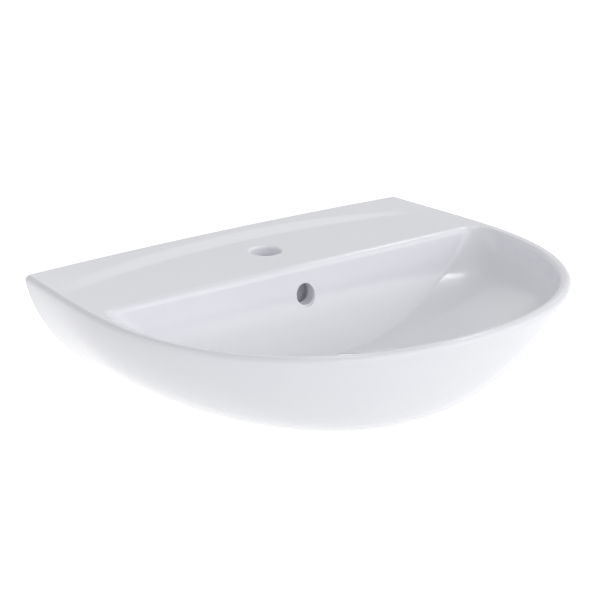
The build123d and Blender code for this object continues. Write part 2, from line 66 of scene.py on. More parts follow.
def grain(tree, size, stretch=(1, 1, 1), detail=3.0):
    """Smooth noise whose lumps are about size metres across."""
    place = tree.nodes.new("ShaderNodeTexCoord")
    scale = tree.nodes.new("ShaderNodeMapping")
    scale.inputs["Scale"].default_value = stretch
    noise = tree.nodes.new("ShaderNodeTexNoise")
    noise.inputs["Scale"].default_value = 1 / size
    noise.inputs["Detail"].default_value = detail
    tree.links.new(place.outputs["Object"], scale.inputs["Vector"])
    tree.links.new(scale.outputs["Vector"], noise.inputs["Vector"])
    return noise.outputs["Fac"]


def turning_marks(tree, pitch, axis="Z"):
    """Fine rings that a lathe leaves along an axis."""
    place = tree.nodes.new("ShaderNodeTexCoord")
    wave = tree.nodes.new("ShaderNodeTexWave")
    wave.wave_type = "BANDS"
    wave.bands_direction = axis
    wave.wave_profile = "SIN"
    wave.inputs["Scale"].default_value = math.pi / (10 * pitch)
    wave.inputs["Distortion"].default_value = 0.0
    tree.links.new(place.outputs["Object"], wave.inputs["Vector"])
    return wave.outputs["Fac"]


def spread(tree, value, low, high):
    """Turns a pattern from 0 to 1 into one from low to high."""
    span = tree.nodes.new("ShaderNodeMapRange")
    span.inputs["From Min"].default_value = PATTERN_LOW
    span.inputs["From Max"].default_value = PATTERN_HIGH
    span.inputs["To Min"].default_value = low
    span.inputs["To Max"].default_value = high
    tree.links.new(value, span.inputs["Value"])
    return span.outputs["Result"]


def two_tones(tree, value, shader, dark, light):
    """Colours a finish between two close tones, by a pattern."""
    ramp = tree.nodes.new("ShaderNodeValToRGB")
    ramp.color_ramp.elements[0].position = PATTERN_LOW
    ramp.color_ramp.elements[1].position = PATTERN_HIGH
    ramp.color_ramp.elements[0].color = (*dark, 1)
    ramp.color_ramp.elements[1].color = (*light, 1)
    tree.links.new(value, ramp.inputs["Fac"])
    tree.links.new(ramp.outputs["Color"], shader.inputs["Base Color"])


def raise_surface(tree, value, shader, height):
    """Bumps a surface by a pattern, height metres from its lowest to its highest."""
    bump = tree.nodes.new("ShaderNodeBump")
    bump.inputs["Strength"].default_value = 1.0
    bump.inputs["Distance"].default_value = height
    tree.links.new(value, bump.inputs["Height"])
    tree.links.new(bump.outputs["Normal"], shader.inputs["Normal"])


def make_glaze():
    """White glaze: a faint cool tone, a soft gloss and the faint ripple of fired ceramic."""
    glaze, tree, shader = finish_named("white glaze", (0.85, 0.86, 0.905), 0.24)
    shader.inputs["IOR"].default_value = 1.52
    shader.inputs["Coat Weight"].default_value = 0.3
    shader.inputs["Coat Roughness"].default_value = 0.09
    two_tones(tree, grain(tree, 0.09, detail=4), shader, (0.846, 0.853, 0.898), (0.859, 0.866, 0.909))
    tree.links.new(spread(tree, grain(tree, 0.006), 0.21, 0.27), shader.inputs["Roughness"])
    raise_surface(tree, grain(tree, 0.02, detail=2), shader, 0.00001)
    return glaze


def make_chrome():
    """Polished chrome with faint smears."""
    chrome, tree, shader = finish_named("polished chrome", (0.80, 0.81, 0.83), 0.06, 1.0)
    two_tones(tree, grain(tree, 0.02), shader, (0.78, 0.79, 0.81), (0.82, 0.83, 0.85))
    tree.links.new(spread(tree, grain(tree, 0.009), 0.04, 0.12), shader.inputs["Roughness"])
    raise_surface(tree, grain(tree, 0.004), shader, 0.000004)
    return chrome


def make_turned_brass():
    """Raw brass with the rings of the lathe and a little tarnish."""
    brass, tree, shader = finish_named("turned brass", (0.75, 0.60, 0.32), 0.28, 1.0)
    two_tones(tree, grain(tree, 0.008, detail=5), shader, (0.62, 0.47, 0.22), (0.78, 0.63, 0.35))
    tree.links.new(spread(tree, grain(tree, 0.003), 0.22, 0.42), shader.inputs["Roughness"])
    raise_surface(tree, turning_marks(tree, 0.0005), shader, 0.00001)
    return brass


def make_rubber():
    """Black moulded rubber, matt, with a fine grain."""
    rubber, tree, shader = finish_named("black rubber", (0.035, 0.035, 0.036), 0.75)
    two_tones(tree, grain(tree, 0.003, detail=4), shader, (0.028, 0.028, 0.029), (0.05, 0.05, 0.051))
    tree.links.new(spread(tree, grain(tree, 0.002), 0.62, 0.85), shader.inputs["Roughness"])
    raise_surface(tree, grain(tree, 0.0006), shader, 0.00004)
    return rubber


def make_zinc():
    """Bright zinc plate, slightly cloudy."""
    zinc, tree, shader = finish_named("bright zinc", (0.66, 0.67, 0.68), 0.3, 1.0)
    two_tones(tree, grain(tree, 0.005, detail=5), shader, (0.55, 0.56, 0.57), (0.72, 0.73, 0.75))
    tree.links.new(spread(tree, grain(tree, 0.002), 0.22, 0.4), shader.inputs["Roughness"])
    raise_surface(tree, grain(tree, 0.0008), shader, 0.00001)
    return zinc


def make_spring_steel():
    """Drawn spring wire, with scratches along it."""
    steel, tree, shader = finish_named("spring wire", (0.55, 0.56, 0.57), 0.3, 1.0)
    two_tones(tree, grain(tree, 0.002), shader, (0.48, 0.49, 0.50), (0.60, 0.61, 0.62))
    tree.links.new(spread(tree, grain(tree, 0.001), 0.22, 0.36), shader.inputs["Roughness"])
    raise_surface(tree, grain(tree, 0.0005, stretch=(1, 1, 8)), shader, 0.00001)
    return steel


def make_plastic(name, dark, light, low, high, texture):
    """Moulded plastic, with the spark texture of its mould."""
    plastic, tree, shader = finish_named(name, light, high)
    two_tones(tree, grain(tree, 0.01), shader, dark, light)
    tree.links.new(spread(tree, grain(tree, 0.002), low, high), shader.inputs["Roughness"])
    raise_surface(tree, grain(tree, texture), shader, 0.00003)
    return plastic


def make_washer_plastic():
    """Translucent plastic of the slip washer."""
    washer = make_plastic("slip washer plastic", (0.70, 0.73, 0.76), (0.76, 0.79, 0.82), 0.25, 0.4, 0.0012)
    washer.node_tree.nodes["Principled BSDF"].inputs["Subsurface Weight"].default_value = 0.15
    return washer


finishes = {
    "glaze": make_glaze(),
    "chrome": make_chrome(),
    "rubber": make_rubber(),
    "brass": make_turned_brass(),
    "zinc": make_zinc(),
    "spring_steel": make_spring_steel(),
    "nylon": make_plastic("grey nylon", (0.40, 0.41, 0.42), (0.47, 0.48, 0.49), 0.45, 0.62, 0.0009),
    "bush_plastic": make_plastic(
        "natural bush plastic", (0.70, 0.70, 0.67), (0.77, 0.77, 0.74), 0.4, 0.55, 0.001
    ),
    "cap_plastic": make_plastic(
        "white cap plastic", (0.80, 0.80, 0.80), (0.86, 0.86, 0.86), 0.2, 0.32, 0.002
    ),
    "washer_plastic": make_washer_plastic(),
}
slot_of = {row["node"]: row["material_slot"] for row in frame["record"]["subparts"]}
for node, piece in frame["nodes"].items():
    piece.data.materials.clear()
    piece.data.materials.append(finishes[slot_of[node]])


# Sizes of the casting, in millimetres. Depths are measured down from the rim.
# Each name that ends in CLOSE holds the taper, fullness and power that closing() reads.
RIM_Z = 62.0
RIM_WALL_HALF, RIM_SIDE_HALF, RIM_WIDEST_Y, RIM_REACH = 263.0, 275.0, -172.0, 442.0
RIM_LEAD_X, RIM_LEAD_Y, WALL_RUN, SIDE_PULL = 5.3, 59.4, 2.0, 44.2
FRONT_PULL, NOSE_PULL = 0.665, 0.572
RIM_ROLL, LIP_ROLL, DECK_ROLL, CORNER_ROLL = 6.0, 6.2, 8.0, 24.0
SKIRT_DEPTH, SKIRT_TURN, KEEL_DEPTH = 144.0, 133.0, 160.0
WALL_CLOSE, SIDE_CLOSE, FRONT_CLOSE = (0.106, 1.85, 0.327), (-0.091, 1.87, 0.696), (0.207, 6.63, 0.421)
SKIN, SKIRT_INSET, WALL_PLATE, CEILING = 11.0, 8.0, 15.0, 10.64
LEDGE_CROWN, LEDGE_MID_Y, LEDGE_END_Y, LEDGE_END_X, LEDGE_SLOPE = 3.7, -28.0, -62.0, 230.0, 24.0
BOWL_DEPTH, DECK_FRONT_Y, WALL_FOOT_Y, WALL_FOOT_DEPTH = 90.0, -146.0, -160.5, 46.0
BOWL_SIDE_HALF, BOWL_CORNER_HALF, BOWL_NOSE = 260.0, 230.0, 188.0
BOWL_SIDE_BELOW, BOWL_CORNER_BELOW = 7.5, 4.0
BOWL_SIDE_CLOSE, BOWL_CORNER_CLOSE = (0.0, 2.6, 0.80), (0.0, 2.2, 0.83)
BOWL_FRONT_CLOSE = (0.13, 2.6, 0.70)
BOWL_WIDEST_Y, BOWL_BACK_Y, BOWL_BACK_DRAW, BOWL_PULL = -182.0, -138.0, 0.0045, 30.0
WALL_LEAN = (DECK_FRONT_Y - DECK_ROLL - WALL_FOOT_Y) / (WALL_FOOT_DEPTH - DECK_ROLL)
WASTE_Y, WASTE_HOLE, BOSS, BOSS_Z, RECESS, RECESS_Z = -240.0, 23.0, 34.0, -68.6, 33.5, -30.6
TAP_Y, TAP_HOLE, TAP_LIP = -84.0, 17.5, 3.0
OVERFLOW_DEPTH, OVERFLOW_HOLE, OVERFLOW_LIP = 32.0, 12.0, 1.2
CHANNEL_HALF, CHANNEL_GAP, CHANNEL_SKIN, CHANNEL_TOP = 17.0, 12.0, 8.0, 17.0
SLOT_TOP, SLOT_FOOT = 104.0, 119.0
WALL_BEND = 8.0            # how soft the bend at the back wall's foot is
WALL_BEND_RUN = 20.0       # depth below the rolled edge over which that bend grows
CORNER_SHARP, CORNER_SHARPER, CORNER_RUN = 50, 130, 45.0     # the bowl's corners, sharper with depth
SKIN_DEPTH_SHIFT, SKIN_DEPTH_STRETCH = 1.088, 1.1343         # bowl depth that a depth outside belongs to
SKIN_ACROSS_WALL, SKIN_CORNER_SHARP = 1.015, 60
SHUT_GAP = 1.5             # the hollow ends where the skirt comes this near to the bowl
RECESS_SOFT = 0.8          # the broken edge of the recess that the waste's flange lies in
LIP_ROWS = (6.0, 4.6, 3.4, 2.4, 1.6, 1.0, 0.55, 0.25, 0.06, 0.0)     # depths of rows on the bowl's edge
WALL_ROWS, DECK_ROWS, SKIRT_ROWS, HOLLOW_ROWS = 44, 48, 40, 18       # mesh rows of each stretch
HOLLOW_STEPS = 80          # depths at which the hollow's outline is worked out
FIXING_HALF, FIXING_HOLE, NOTCH_HALF, NOTCH_TOP, NOTCH_FOOT = 140, 8, 75, -28, -90
WALL_COLUMNS, SIDE_COLUMNS, NOSE_COLUMNS = 60, 80, 80        # mesh columns of each half outline


# Basin
def closing(depth, limit, shape):
    """Share of the rim size that is left at this depth."""
    taper, fullness, power = shape
    part_way = max(depth, 0.0) / limit
    return (1 - taper * part_way) * max(1 - part_way ** fullness, 0.0) ** power


def rolled(depth, radius):
    """How far a rolled edge spreads out at this depth."""
    across = max(radius - max(depth, 0.0), 0.0)
    return radius - math.sqrt(radius ** 2 - across ** 2)


def bend_line(start, pull_a, pull_b, end, count):
    """Points on a smooth bend between two ends."""
    t = np.linspace(0, 1, count)[:, None]
    a, b, c, d = (np.array(point, float) for point in (start, pull_a, pull_b, end))
    return a * (1 - t) ** 3 + 3 * b * t * (1 - t) ** 2 + 3 * c * t ** 2 * (1 - t) + d * t ** 3


def side_and_nose(start, bend, side, pull, nose_y):
    """The right half of an outline: its side, then its nose."""
    front = side[1] - nose_y
    first = bend_line(start, bend, (side[0], side[1] + pull), side, 160)
    second = bend_line(
        side, (side[0], side[1] - FRONT_PULL * front), (NOSE_PULL * side[0], nose_y), (0, nose_y), 200
    )
    return first, second


def even_points(line, count):
    """Points the same distance apart along a line, both ends included."""
    run = np.r_[0, np.cumsum(np.linalg.norm(np.diff(line, axis=0), axis=1))]
    wanted = np.linspace(0, run[-1], count + 1)
    return np.column_stack([np.interp(wanted, run, line[:, axis]) for axis in (0, 1)])


def skirt_share(depth, shape):
    """Share of the rim size at this depth of the skirt, straight on below its last turn."""
    below = max(min(depth, SKIRT_TURN) - RIM_ROLL, 0.0)
    share = closing(below, KEEL_DEPTH - RIM_ROLL, shape)
    lean = share - closing(below - 1, KEEL_DEPTH - RIM_ROLL, shape)
    return share + lean * max(depth - SKIRT_TURN, 0.0)


def front_reach(depth):
    """How far the skirt's front stands from the wall at this depth."""
    return RIM_REACH * skirt_share(depth, FRONT_CLOSE)


def skirt_outline(depth, inset=0.0, cut_y=0.0):
    """Right half of the skirt's outline: along the wall, down the side and round the nose."""
    wall_half = RIM_WALL_HALF * skirt_share(depth, WALL_CLOSE) - inset
    side_half = RIM_SIDE_HALF * skirt_share(depth, SIDE_CLOSE) - inset
    drawn_in = skirt_share(depth, FRONT_CLOSE)
    lean = RIM_LEAD_X / (RIM_LEAD_Y * drawn_in)
    first, second = side_and_nose(
        (wall_half + lean * WALL_RUN, -WALL_RUN),
        (wall_half + RIM_LEAD_X, -RIM_LEAD_Y * drawn_in),
        (side_half, RIM_WIDEST_Y * drawn_in),
        SIDE_PULL * drawn_in,
        -RIM_REACH * drawn_in + inset,
    )
    first = np.vstack([(wall_half, 0.0), first])
    if cut_y < 0:
        corner = np.interp(-cut_y, -first[:, 1], first[:, 0])
        first = np.vstack([(corner, cut_y), first[first[:, 1] < cut_y]])
    along = np.linspace(0, first[0, 0], WALL_COLUMNS + 1)
    wall = np.column_stack([along, np.full(WALL_COLUMNS + 1, cut_y)])
    return np.vstack([wall[:-1], even_points(first, SIDE_COLUMNS)[:-1], even_points(second, NOSE_COLUMNS)])


def back_line(depth):
    """The bowl's straight back wall, and its sloping floor below that."""
    if depth < WALL_FOOT_DEPTH:
        return WALL_FOOT_Y + WALL_LEAN * (WALL_FOOT_DEPTH - depth)
    return WALL_FOOT_Y - (depth - WALL_FOOT_DEPTH)


def bowl_outline(depth, grow=0.0, lip=LIP_ROLL, corner=CORNER_ROLL):
    """Right half of the bowl's outline, without its back."""
    limit = BOWL_DEPTH + BOWL_SIDE_BELOW
    corner_half = BOWL_CORNER_HALF * closing(depth, BOWL_DEPTH + BOWL_CORNER_BELOW, BOWL_CORNER_CLOSE)
    corner_half += rolled(depth, corner) + grow
    side_half = BOWL_SIDE_HALF * closing(depth, limit, BOWL_SIDE_CLOSE) + rolled(depth, lip) + grow
    nose = BOWL_NOSE * closing(depth, limit, BOWL_FRONT_CLOSE) + rolled(depth, lip) + grow
    corner_y = back_line(depth)
    widest = BOWL_WIDEST_Y + (WASTE_Y - BOWL_WIDEST_Y) * min(1.0, depth / BOWL_DEPTH)
    drawn = 1 - BOWL_BACK_DRAW * (BOWL_BACK_Y - corner_y)
    first, second = side_and_nose(
        (corner_half * drawn, BOWL_BACK_Y),
        (corner_half, corner_y),
        (side_half, widest),
        BOWL_PULL,
        WASTE_Y - nose,
    )
    return np.vstack([first, second[1:]])


def reach(outline, angles):
    """Distance from the waste's centre to an outline, in each direction."""
    x, y = outline[:, 0], outline[:, 1] - WASTE_Y
    order = np.argsort(np.arctan2(y, x))
    return np.interp(angles, np.arctan2(y, x)[order], np.hypot(x, y)[order])


def nearer(one, other, sharpness):
    """The smaller of two distances, rounded where they meet."""
    low, high = np.minimum(one, other), np.maximum(one, other)
    return low * (1 + (low / high) ** sharpness) ** (-1 / sharpness)


def back_wall(depth):
    """The bowl's back wall with its rolled top edge and the soft bend at its foot."""
    if depth < DECK_ROLL:
        return DECK_FRONT_Y - math.sqrt(DECK_ROLL ** 2 - (DECK_ROLL - depth) ** 2)
    wall = WALL_FOOT_Y + WALL_LEAN * (WALL_FOOT_DEPTH - depth)
    floor = WALL_FOOT_Y - (depth - WALL_FOOT_DEPTH)
    soft = WALL_BEND * min((depth - DECK_ROLL) / WALL_BEND_RUN, 1.0)
    return (wall + floor - math.hypot(wall - floor, soft)) / 2


def bowl_radius(angles, depth):
    """Distance from the waste's centre to the bowl's wall."""
    back_y = back_wall(depth)
    back = (back_y - WASTE_Y) / np.maximum(np.sin(angles), 0.01)
    sharpness = CORNER_SHARP + CORNER_SHARPER * min(depth / CORNER_RUN, 1.0)
    return nearer(reach(bowl_outline(depth), angles), back, sharpness)


def skin_radius(angles, depth):
    """Distance from the waste's centre to the outside of the ceramic round the bowl, or to the boss."""
    if depth >= BOWL_DEPTH + SKIN:
        return np.full(len(angles), BOSS)
    inner = (depth + SKIN_DEPTH_SHIFT) / SKIN_DEPTH_STRETCH
    back_y = min(
        WALL_FOOT_Y + WALL_LEAN * (WALL_FOOT_DEPTH - depth) + SKIN * SKIN_ACROSS_WALL,
        WALL_FOOT_Y - (depth - WALL_FOOT_DEPTH) + SKIN * math.sqrt(2),
    )
    back = (back_y - WASTE_Y) / np.maximum(np.sin(angles), 0.01)
    side = reach(bowl_outline(inner, grow=SKIN, lip=0.0, corner=0.0), angles)
    return np.maximum(nearer(side, back, SKIN_CORNER_SHARP), BOSS + 0.3)


def around_waste(radius, angles):
    """Points at these distances and directions from the waste's centre."""
    return np.column_stack([radius * np.cos(angles), WASTE_Y + radius * np.sin(angles)])


def ledge_height(points):
    """Height of the raised ledge along the wall."""
    x, y = points[:, 0], points[:, 1]
    crown = LEDGE_CROWN * np.clip(1 - (x / RIM_WALL_HALF) ** 2, 0, None)
    middle = LEDGE_MID_Y + (LEDGE_END_Y - LEDGE_MID_Y) * (x / LEDGE_END_X) ** 2
    share = np.clip((y - middle) / LEDGE_SLOPE + 0.5, 0, 1)
    return crown * share * share * (3 - 2 * share)


def at_height(points, z):
    """Plan points lifted to a height or to one height each."""
    return np.column_stack([points, np.broadcast_to(z, len(points))])


def evenly_deep(first, last, width_at, count):
    """Depths whose rows are the same distance apart on a wall that draws in."""
    depths = np.linspace(first, last, 400)
    widths = np.array([width_at(depth) for depth in depths])
    run = np.r_[0, np.cumsum(np.hypot(np.diff(depths), np.diff(widths)))]
    return np.interp(np.linspace(0, run[-1], count), run, depths)


def inside_rows(angles):
    """Rows of the bowl, from the waste's recess up to the deck."""
    rows = [
        at_height(around_waste(RECESS, angles), RECESS_Z),
        at_height(around_waste(RECESS, angles), RIM_Z - BOWL_DEPTH - RECESS_SOFT),
        at_height(around_waste(RECESS + RECESS_SOFT, angles), RIM_Z - BOWL_DEPTH),
    ]
    foot = bowl_radius(angles, BOWL_DEPTH)
    for share in (0.35, 0.7):
        radius = RECESS + RECESS_SOFT + (foot - RECESS - RECESS_SOFT) * share
        rows.append(at_height(around_waste(radius, angles), RIM_Z - BOWL_DEPTH))
    side = np.array([0.0])
    wall = evenly_deep(DECK_ROLL, BOWL_DEPTH, lambda depth: bowl_radius(side, depth)[0], WALL_ROWS)[::-1]
    for depth in list(wall) + list(LIP_ROWS):
        rows.append(at_height(around_waste(bowl_radius(angles, depth), angles), RIM_Z - depth))
    return rows


def outside_rows(edge, rim):
    """Rows of the deck, the rolled rim and the skirt, from the bowl's edge down to the ring."""
    rows = []
    for share in np.linspace(0, 1, DECK_ROWS)[1:]:
        plan = edge + (rim - edge) * share
        rows.append(at_height(plan, RIM_Z + ledge_height(plan)))
    for turn in np.radians([15, 30, 45, 60, 75, 90]):
        plan = skirt_outline(0, RIM_ROLL * (1 - math.sin(turn)))
        height = RIM_Z - RIM_ROLL * (1 - math.cos(turn))
        rows.append(at_height(plan, height + ledge_height(plan) * (1 - turn / math.radians(90))))
    for depth in evenly_deep(RIM_ROLL, SKIRT_DEPTH, front_reach, SKIRT_ROWS)[1:]:
        rows.append(at_height(skirt_outline(depth), RIM_Z - depth))
    return rows


def column_values(table, depths, wanted):
    """One value a column from a table of rows by depth."""
    return np.array([np.interp(wanted[k], depths, table[:, k]) for k in range(table.shape[1])])


def hollow_tops(plans, depths):
    """Depth at which the hollow ends above each column of the skirt's inside."""
    turns = np.arctan2(plans[:, :, 1] - WASTE_Y, plans[:, :, 0])
    gaps = np.hypot(plans[:, :, 0], plans[:, :, 1] - WASTE_Y)
    gaps -= np.array([skin_radius(turns[k], depth) for k, depth in enumerate(depths)])
    tops = np.full(plans.shape[1], CEILING)
    for column in range(plans.shape[1]):
        shut = np.nonzero(gaps[:, column] < SHUT_GAP)[0]
        if len(shut):
            k = min(shut[-1], len(depths) - 2)
            low, high = gaps[k, column], gaps[k + 1, column]
            tops[column] = depths[k] + (depths[k + 1] - depths[k]) * (SHUT_GAP - low) / max(high - low, 1e-6)
    padded = np.r_[tops[4:0:-1], tops, tops[-2:-6:-1]]
    return np.maximum(np.convolve(padded, np.ones(9) / 9, "valid"), CEILING)


def hollow_rows(angles):
    """Rows of the hollow behind the skirt, over the bowl's underside and down the boss."""
    depths = np.linspace(CEILING, SKIRT_DEPTH, HOLLOW_STEPS)
    plans = np.array([
        skirt_outline(min(depth * SKIRT_DEPTH / (SKIRT_DEPTH - SKIN), SKIRT_DEPTH), SKIRT_INSET, -WALL_PLATE)
        for depth in depths
    ])
    tops = hollow_tops(plans, depths)
    rows = []
    for share in np.linspace(0, 1, HOLLOW_ROWS):
        wanted = SKIRT_DEPTH + (tops - SKIRT_DEPTH) * share
        plan = np.column_stack([column_values(plans[:, :, axis], depths, wanted) for axis in (0, 1)])
        rows.append(at_height(plan, RIM_Z - wanted))
    turn = np.arctan2(plan[:, 1] - WASTE_Y, plan[:, 0])
    turn[0], turn[-1] = math.pi / 2, -math.pi / 2
    skins = np.array([skin_radius(turn, depth) for depth in depths])
    outer = np.hypot(plan[:, 0], plan[:, 1] - WASTE_Y)
    inner = np.minimum(column_values(skins, depths, tops), outer - 0.6)
    for share in (0.2, 0.4, 0.6, 0.8):
        rows.append(at_height(around_waste(outer + (inner - outer) * share, turn), RIM_Z - tops))
    rows.append(at_height(around_waste(inner, turn), RIM_Z - tops))
    floor_depth = BOWL_DEPTH + SKIN - 0.01
    for share in np.linspace(0, 1, HOLLOW_ROWS)[1:]:
        wanted = tops + (floor_depth - tops) * (1 - (1 - share) ** 1.5)
        radius = [skin_radius(turn[k : k + 1], wanted[k])[0] for k in range(len(turn))]
        rows.append(at_height(around_waste(np.array(radius), turn), RIM_Z - wanted))
    rows.append(at_height(around_waste(BOSS, turn), RIM_Z - BOWL_DEPTH - SKIN))
    rows.append(at_height(around_waste(BOSS, turn), BOSS_Z + 1))
    rows.append(at_height(around_waste(BOSS - 1, turn), BOSS_Z))
    for share in np.linspace(0, 1, 5):
        height = BOSS_Z + (RECESS_Z - BOSS_Z) * share
        rows.append(at_height(around_waste(WASTE_HOLE, turn + (angles - turn) * share), height))
    return rows


def closed_mesh(name, points, faces):
    """A mesh in metres from millimetre points, with its faces turned outwards."""
    mesh = bpy.data.meshes.new(name)
    mesh.from_pydata((np.asarray(points) * MM).tolist(), [], faces)
    mesh.update()
    work = bmesh.new()
    work.from_mesh(mesh)
    if work.calc_volume(signed=True) < 0:
        bmesh.ops.reverse_faces(work, faces=work.faces)
    work.to_mesh(mesh)
    work.free()
    return mesh


def casting_mesh():
    """The whole casting as one closed ring of rows, before its holes are cut."""
    rim = skirt_outline(0, RIM_ROLL)
    angles = np.arctan2(rim[:, 1] - WASTE_Y, rim[:, 0])
    inside = inside_rows(angles)
    rows = inside + outside_rows(inside[-1][:, :2], rim) + hollow_rows(angles)
    half = np.array(rows)
    left = half[:, -2:0:-1] * (-1, 1, 1)
    grid = np.concatenate([half, left], axis=1)
    count, columns = grid.shape[:2]
    faces = [
        (a * columns + c, a * columns + d, b * columns + d, b * columns + c)
        for a in range(count)
        for b in [(a + 1) % count]
        for c in range(columns)
        for d in [(c + 1) % columns]
    ]
    return closed_mesh("casting", grid.reshape(-1, 3), faces)


def band_block(name, near, far, top, roof, bottom, end_y, half):
    """A band behind the bowl's wall and floor, which turns level towards the waste."""
    turn = math.tan(math.radians(22.5))
    level = math.cos(math.radians(45))
    side = [
        (back_line(top) + near, RIM_Z - top),
        (WALL_FOOT_Y + near, RIM_Z - WALL_FOOT_DEPTH - near * turn),
        (back_line(roof - near / level), RIM_Z - roof),
        (end_y, RIM_Z - roof),
        (end_y, RIM_Z - bottom),
        (back_line(bottom - far / level), RIM_Z - bottom),
        (WALL_FOOT_Y + far, RIM_Z - WALL_FOOT_DEPTH - far * turn),
        (back_line(top) + far, RIM_Z - top),
    ]
    return prism(name, side, -half, half)


def prism(name, side, low, high):
    """A block whose side view is given, from low to high across."""
    count = len(side)
    points = [(x, y, z) for x in (low, high) for y, z in side]
    faces = [tuple(range(count)), tuple(range(2 * count - 1, count - 1, -1))]
    faces += [(k, k + count, (k + 1) % count + count, (k + 1) % count) for k in range(count)]
    return closed_mesh(name, points, faces)


def turned(name, profile, centre, along, lean=0.0, steps=96):
    """A round cutter: (radius, distance) pairs turned about Z or Y, leaned to follow a wall."""
    points = []
    for radius, run in profile:
        for k in range(steps):
            turn = 2 * math.pi * k / steps
            a, b = radius * math.cos(turn), radius * math.sin(turn)
            if along == "Z":
                points.append((centre[0] + a, centre[1] + b, run))
            else:
                points.append((centre[0] + a, run + lean * b, centre[1] + b))
    faces = [tuple(range(steps - 1, -1, -1)), tuple(range(len(points) - steps, len(points)))]
    for ring in range(len(profile) - 1):
        for k in range(steps):
            a, b = ring * steps + k, ring * steps + (k + 1) % steps
            faces.append((a, b, b + steps, a + steps))
    return closed_mesh(name, points, faces)


def cut_or_join(body, tool, operation):
    """Joins a tool mesh to the body, or cuts it out."""
    helper = bpy.data.objects.new("tool", tool)
    bpy.context.scene.collection.objects.link(helper)
    change = body.modifiers.new("change", "BOOLEAN")
    change.operation = operation
    change.solver = "MANIFOLD"
    change.object = helper
    bpy.context.view_layer.update()
    evaluated = body.evaluated_get(bpy.context.evaluated_depsgraph_get())
    mesh = bpy.data.meshes.new_from_object(evaluated)
    body.modifiers.clear()
    old = body.data
    body.data = mesh
    bpy.data.meshes.remove(old)
    bpy.data.objects.remove(helper)


def flare(radius, lip, surface, inward, beyond):
    """Profile of a hole's cutter whose mouth opens with a rolled lip."""
    turns = np.radians([0, 12, 24, 36, 48, 60, 72, 80])
    points = [(radius, surface + inward * beyond)]
    for turn in turns:
        edge = radius + lip - lip * math.cos(turn)
        points.append((edge, surface + inward * (lip - lip * math.sin(turn))))
    points += [(edge + 0.2, surface - inward * 0.2), (edge + 0.2, surface - inward * 12)]
    return points


def make_basin(finish):
    """The glazed casting with its overflow channel and holes."""
    basin = bpy.data.objects.new("basin_casting", casting_mesh())
    bpy.context.scene.collection.objects.link(basin)
    end_block, end_room = WASTE_Y + BOSS - CHANNEL_SKIN / 2, WASTE_Y + WASTE_HOLE / 2
    behind = SKIN + CHANNEL_GAP + CHANNEL_SKIN
    block = band_block(
        "channel_block", SKIN / 2, behind, SKIN / 2, BOWL_DEPTH + SKIN / 2, SLOT_FOOT + CHANNEL_SKIN,
        end_block, CHANNEL_HALF + CHANNEL_SKIN,
    )
    room = band_block(
        "channel_room", SKIN, SKIN + CHANNEL_GAP, CHANNEL_TOP, SLOT_TOP, SLOT_FOOT, end_room, CHANNEL_HALF
    )
    cut_or_join(basin, block, "UNION")
    cut_or_join(basin, room, "DIFFERENCE")
    tap = turned("tap_cutter", flare(TAP_HOLE, TAP_LIP, RIM_Z, -1, 20), (0, TAP_Y), "Z")
    cut_or_join(basin, tap, "DIFFERENCE")
    mouth = flare(OVERFLOW_HOLE, OVERFLOW_LIP, back_wall(OVERFLOW_DEPTH), 1, SKIN + 5)
    overflow = turned("overflow_cutter", mouth, (0, RIM_Z - OVERFLOW_DEPTH), "Y", lean=WALL_LEAN)
    cut_or_join(basin, overflow, "DIFFERENCE")
    for side in (-FIXING_HALF, FIXING_HALF):
        through = [(FIXING_HOLE, -WALL_PLATE - 4), (FIXING_HOLE, 4)]
        hole = turned("fixing_hole", through, (side, 0), "Y", steps=48)
        cut_or_join(basin, hole, "DIFFERENCE")
    deep = -WALL_PLATE - 0.5
    notch = [(4, NOTCH_FOOT), (4, NOTCH_TOP), (deep, NOTCH_TOP), (deep, NOTCH_FOOT)]
    cut_or_join(basin, prism("pipe_notch", notch, -NOTCH_HALF, NOTCH_HALF), "DIFFERENCE")
    mesh = basin.data
    mesh.name = "basin_casting"
    mesh.materials.clear()
    mesh.materials.append(finish)
    mesh.shade_smooth()
    mesh.set_sharp_from_angle(angle=math.radians(38))
    return basin


basin = make_basin(finishes["glaze"])
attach(basin, "mounted")
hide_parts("basin")


